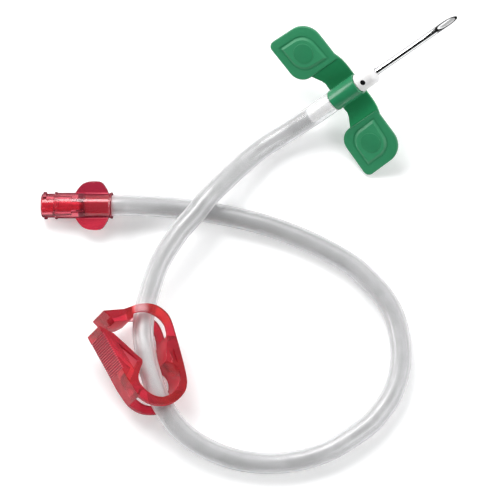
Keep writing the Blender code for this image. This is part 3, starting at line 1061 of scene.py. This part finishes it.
class NEEDLESET_OT_cannula(bpy.types.Operator):
    """Draw the steel cannula and grind its tip"""

    bl_idname = "needleset.cannula"
    bl_label = "Steel cannula"

    def execute(self, context):
        settings = context.scene.needle_set.needle
        nose = BARREL_FRONT + context.scene.needle_set.hub.nose_length / MM
        radius = settings.radius / MM
        tip = nose + settings.free_length / MM
        bore = radius - CANNULA_WALL
        start = nose - 9.0
        section = [
            (start, radius, 0.0),
            (nose - 4.0, radius, 0.0),
            (tip - 12.0, radius, 0.0),
            (tip, radius, 0.0),
            (tip, bore, 0.0),
            (start, bore, 0.0),
        ]
        cannula = turned("steel_cannula", section, 56)
        cube = 20 * MM
        place = Matrix.Translation(Vector((tip * MM, 0, 0)))
        place = place @ Matrix.Rotation(math.radians(BEVEL_TURN), 4, "X")
        place = place @ Matrix.Translation(Vector((0, 0, -(radius - 0.03) * MM)))
        place = place @ Matrix.Rotation(settings.bevel, 4, "Y")
        place = place @ Matrix.Translation(Vector((0, 0, cube / 2)))
        select_none()
        bpy.ops.mesh.primitive_cube_add(size=cube)
        stone = context.object
        stone.matrix_world = place
        join_in(cannula, stone, "DIFFERENCE")
        steel = steel_finish(settings.steel, tip - BEVEL_REACH)
        beside = Matrix.Translation(Vector((0, CANNULA_ASIDE * MM, 0)))
        finished(cannula, NEEDLE_PLACE @ beside, steel, "line", "cannula")
        return {"FINISHED"}


class NEEDLESET_OT_wings(bpy.types.Operator):
    """Mould the green collar, straps and finger pads"""

    bl_idname = "needleset.wings"
    bl_label = "Green wings"

    def outlines(self, side, span):
        strap = [
            (4.3, 0.0),
            (4.5, 3.4),
            (4.5, 5.2),
            (4.45, 7.1),
            (4.25, 8.7),
            (4.0, FOLD_Y),
            (3.35, FOLD_Y + 1.9),
            (-6.9, FOLD_Y + 1.2),
            (-7.05, FOLD_Y + 0.1),
            (-5.95, 7.9),
            (-5.2, 6.7),
            (-4.75, 5.4),
            (-4.85, 3.6),
            (-4.9, 0.0),
        ]
        pad = rounded(
            [(3.45, FOLD_Y, 0.4), (3.2, span - 0.3, 6.2), (-12.2, span + 0.2, 1.9), (-11.75, FOLD_Y, 4.6)]
        )
        panel = rounded([(1.0, 11.5, 0.35), (0.3, 21.6, 4.9), (-9.4, 21.9, 0.35), (-9.1, 11.9, 4.9)])
        plateau = rounded(
            [(0.2, 12.3, 0.15), (-0.45, 20.9, 4.15), (-8.7, 21.2, 0.15), (-8.4, 12.7, 4.15)]
        )
        moat = rounded([(1.5, 11.0, 0.5), (0.7, 22.1, 5.3), (-9.9, 22.4, 0.5), (-9.55, 11.4, 5.3)])
        disc = []
        disc_x, disc_y, disc_r, steps = -4.25, 16.8, 3.1, 40
        for k in range(steps):
            turn = TAU * k / steps
            disc.append((disc_x + disc_r * math.cos(turn), disc_y + disc_r * math.sin(turn)))
        shapes = (strap, pad, moat, panel, plateau, disc)
        return [[(x, y * side) for x, y in line] for line in shapes]

    def execute(self, context):
        settings = context.scene.needle_set.wings
        span = settings.half_span / MM
        top = PAD_TOP
        low = top - settings.pad_thickness / MM
        section = [
            (COLLAR_REAR, COLLAR_BORE, 0.12),
            (COLLAR_REAR, COLLAR_R, 0.3),
            (COLLAR_FRONT, COLLAR_R, 0.3),
            (COLLAR_FRONT, COLLAR_BORE, 0.12),
        ]
        wings = turned("green_wings", section)
        for side in (1, -1):
            strap, pad, moat, panel, plateau, disc = self.outlines(side, span)
            join_in(wings, slab("strap", strap, -2.6, -1.6, 0.2))
            join_in(wings, slab("pad", pad, low, top, 0.4, 4))
            join_in(wings, slab("moat", moat, top - 0.12, top + 1.5, 0.05), "DIFFERENCE")
            rings = [(panel, top - 0.5), (panel, top - 0.1), (plateau, top + 0.36)]
            join_in(wings, stepped("panel", rings))
            join_in(wings, slab("disc", disc, top - 0.5, top + 0.5, 0.12))
        hollow = rod("hollow", (-12, 0, 0), (12, 0, 0), COLLAR_BORE - 0.005, 72)
        join_in(wings, hollow, "DIFFERENCE")
        heal(wings)
        green = green_finish(settings.pad_green, settings.strap_green)
        finished(wings, NEEDLE_PLACE, green, "wings", "wings", 14.0)
        return {"FINISHED"}


class NEEDLESET_OT_clamp(bpy.types.Operator):
    """Bend the red strip into the pinch clamp"""

    bl_idname = "needleset.clamp"
    bl_label = "Pinch clamp"

    def outline(self):
        bow = [
            (-6.6, 11.5),
            (-4.7, 12.15),
            (-2.55, 12.85),
            (-0.4, 13.15),
            (1.95, 13.1),
            (4.0, 12.45),
            (5.65, 11.25),
            (7.2, 9.45),
            (8.15, 6.6),
            (8.9, 2.2),
            (9.6, -1.95),
            (10.25, -6.5),
            (10.55, -9.6),
            (10.45, -11.8),
            (9.65, -14.1),
            (7.8, -16.2),
            (5.8, -17.5),
            (3.8, -18.15),
            (1.9, -18.35),
            (-0.6, -18.1),
            (-3.0, -17.1),
            (-5.2, -15.2),
            (-6.9, -12.4),
        ]
        out = [(-13.1, 11.0)]
        out += [tuple(p) for p in smooth_line(bow, 4)]
        out += [(-7.9, -10.6), (-14.55, 4.4), (-15.25, 6.1), (-14.35, 5.85), (-10.9, 4.0), (-7.15, 0.25)]
        nose = [
            (-4.3, -2.75),
            (-3.2, -3.8),
            (-2.8, -4.3),
            (-2.75, -4.9),
            (-2.9, -5.6),
            (-3.5, -6.8),
            (-4.2, -8.3),
            (-4.55, -9.7),
            (-4.4, -11.2),
            (-3.65, -12.5),
            (-2.5, -13.8),
            (-1.3, -14.8),
            (0.1, -15.5),
            (1.5, -15.8),
            (2.8, -15.75),
            (5.2, -14.9),
            (6.7, -13.6),
            (7.9, -11.6),
            (8.45, -9.6),
            (8.3, -7.8),
            (7.4, -6.3),
            (5.9, -5.35),
        ]
        out += [tuple(p) for p in smooth_line(nose, 4)]
        out += [(4.65, -4.75), (4.75, -3.0), (5.5, 0.1), (6.0, 2.2)]
        crown = [
            (6.1, 4.5),
            (5.75, 6.6),
            (4.75, 8.2),
            (3.35, 9.5),
            (1.6, 10.4),
            (-0.2, 10.85),
            (-2.3, 10.7),
            (-3.9, 10.2),
        ]
        out += [tuple(p) for p in smooth_line(crown, 4)]
        out += [(-4.05, 8.9), (-6.4, 7.8), (-10.2, 7.3)]
        return out

    def execute(self, context):
        settings = context.scene.needle_set.clamp
        half = settings.width / MM / 2
        clamp = slab("red_clamp", self.outline(), -half, half, 0.2, 2)
        slot_half = 3.9
        top = [(-3.9, 8.2), (-3.9, 14.5), (9.5, 14.5), (9.5, 3.2), (5.0, 3.2), (0.0, 8.2)]
        low = [(-4.4, -13.0), (-6.0, -20.5), (10.0, -20.5), (9.0, -13.6), (4.0, -13.4)]
        for line in (top, low):
            join_in(clamp, slab("slot", line, -slot_half, slot_half, 0.5), "DIFFERENCE")
        jaw = [(7.4, -0.9), (6.1, -4.2), (8.3, -5.2)]
        depth = 0.7
        past = 1.0
        for line in (NOSE_POCKET, jaw):
            for low in (half - depth, -half - past):
                pocket = slab("pocket", line, low, low + depth + past, 0.1, 2)
                join_in(clamp, pocket, "DIFFERENCE")
        along = Vector(GRIP_RUN)
        out = Vector(GRIP_FOOT) + Vector((-along.y, along.x)) * 0.07
        grooves = rod("grooves", (*out, -half - 1), (*out, half + 1), 0.3, 20)
        pick(grooves)
        comb = grooves.modifiers.new("Array", "ARRAY")
        comb.count = GRIP_COUNT
        comb.use_relative_offset = False
        comb.use_constant_offset = True
        comb.constant_offset_displace = (*(along * GRIP_PITCH * MM), 0)
        bpy.ops.object.modifier_apply(modifier=comb.name)
        join_in(clamp, grooves, "DIFFERENCE")
        heal(clamp)
        red = clamp_finish(settings.red)
        finished(clamp, CLAMP_PLACE, red, "line", "pinch_clamp", 30.0)
        return {"FINISHED"}


class NEEDLESET_OT_luer(bpy.types.Operator):
    """Mould the red luer connector"""

    bl_idname = "needleset.luer"
    bl_label = "Luer connector"

    def execute(self, context):
        settings = context.scene.needle_set.luer
        end = settings.length / MM
        section = [
            (0.0, 3.95, 0.12),
            (0.42, 3.95, 0.12),
            (0.8, 3.7, 0.1),
            (11.0, 3.84, 0.3),
            (16.55, 3.84, 0.1),
            (16.7, 4.08, 0.1),
            (17.2, 4.08, 0.1),
            (17.35, 3.6, 0.1),
            (end - 0.2, 3.6, 0.5),
            (end, 3.2, 0.2),
            (end, 2.15, 0.15),
            (end - 9.0, 1.88, 0.0),
            (end - 9.0, 1.0, 0.0),
            (3.0, 1.0, 0.0),
            (0.0, 3.6, 0.0),
        ]
        luer = turned("red_luer", section)
        for side in (1, -1):
            rim = [
                (11.15, 3.8),
                (10.6, 4.7),
                (9.9, 5.6),
                (8.8, 6.6),
                (7.2, 7.2),
                (5.6, 7.35),
                (4.0, 7.25),
                (2.9, 6.7),
                (2.1, 5.6),
                (1.55, 4.7),
                (1.2, 3.8),
            ]
            lobe = [tuple(p) for p in smooth_line(rim, 3)] + [(1.4, 2.2), (10.9, 2.2)]
            lobe = [(x, y * side) for x, y in lobe]
            join_in(luer, slab("lug", lobe, -0.95, 0.95, 0.3))
        join_in(luer, rod("socket", (-2.0, 0, 0), (SOCKET_DEPTH, 0, 0), 3.3, 72), "DIFFERENCE")
        join_in(luer, rod("passage", (8.0, 0, 0), (end - 8.9, 0, 0), 1.4, 72), "DIFFERENCE")
        for turn in (60, 240):
            select_none()
            bpy.ops.mesh.primitive_cube_add(size=MM)
            lug = context.object
            spin = Matrix.Rotation(math.radians(turn), 4, "X")
            place = Matrix.Translation(Vector(((end - 1.1) * MM, 0, 3.3 * MM)))
            lug.matrix_world = spin @ place @ Matrix.Diagonal((1.1, 3.0, 1.3, 1.0))
            pick(lug)
            bpy.ops.object.transform_apply(location=True, rotation=True, scale=True)
            modify(lug, "BEVEL", width=0.00018, segments=3)
            join_in(luer, lug)
        heal(luer)
        red = luer_finish(settings.red)
        finished(luer, LUER_PLACE, red, "line", "luer_connector", 30.0)
        return {"FINISHED"}


class NEEDLESET_PT_panel(bpy.types.Panel):
    bl_idname = "NEEDLESET_PT_panel"
    bl_label = "Fistula needle set"
    bl_space_type = "VIEW_3D"
    bl_region_type = "UI"
    bl_category = "Needle set"

    def draw(self, context):
        layout = self.layout
        settings = context.scene.needle_set
        for operator, group in PIECES:
            box = layout.box()
            box.operator(operator)
            values = getattr(settings, group)
            for key in values.bl_rna.properties.keys():
                if key not in ("rna_type", "name"):
                    box.prop(values, key)


PIECES = [
    ("needleset.stage", "stage"),
    ("needleset.hose", "hose"),
    ("needleset.hub", "hub"),
    ("needleset.cannula", "needle"),
    ("needleset.wings", "wings"),
    ("needleset.clamp", "clamp"),
    ("needleset.luer", "luer"),
]

CLASSES = [
    HoseSettings,
    NeedleSettings,
    HubSettings,
    WingSettings,
    ClampSettings,
    LuerSettings,
    StageSettings,
    NeedleSetSettings,
    NEEDLESET_OT_stage,
    NEEDLESET_OT_hose,
    NEEDLESET_OT_hub,
    NEEDLESET_OT_cannula,
    NEEDLESET_OT_wings,
    NEEDLESET_OT_clamp,
    NEEDLESET_OT_luer,
    NEEDLESET_PT_panel,
]


def register():
    for made in CLASSES:
        bpy.utils.register_class(made)
    bpy.types.Scene.needle_set = PointerProperty(type=NeedleSetSettings)


def unregister():
    del bpy.types.Scene.needle_set
    for made in reversed(CLASSES):
        bpy.utils.unregister_class(made)


def main():
    register()
    for obj in list(bpy.data.objects):
        if obj.type in ("CAMERA", "LIGHT") or obj.name == "Cube":
            bpy.data.objects.remove(obj, do_unlink=True)
    bpy.ops.needleset.stage()
    bpy.ops.needleset.hose()
    bpy.ops.needleset.hub()
    bpy.ops.needleset.cannula()
    bpy.ops.needleset.wings()
    bpy.ops.needleset.clamp()
    bpy.ops.needleset.luer()
    bpy.context.view_layer.update()


if __name__ == "__main__":
    main()
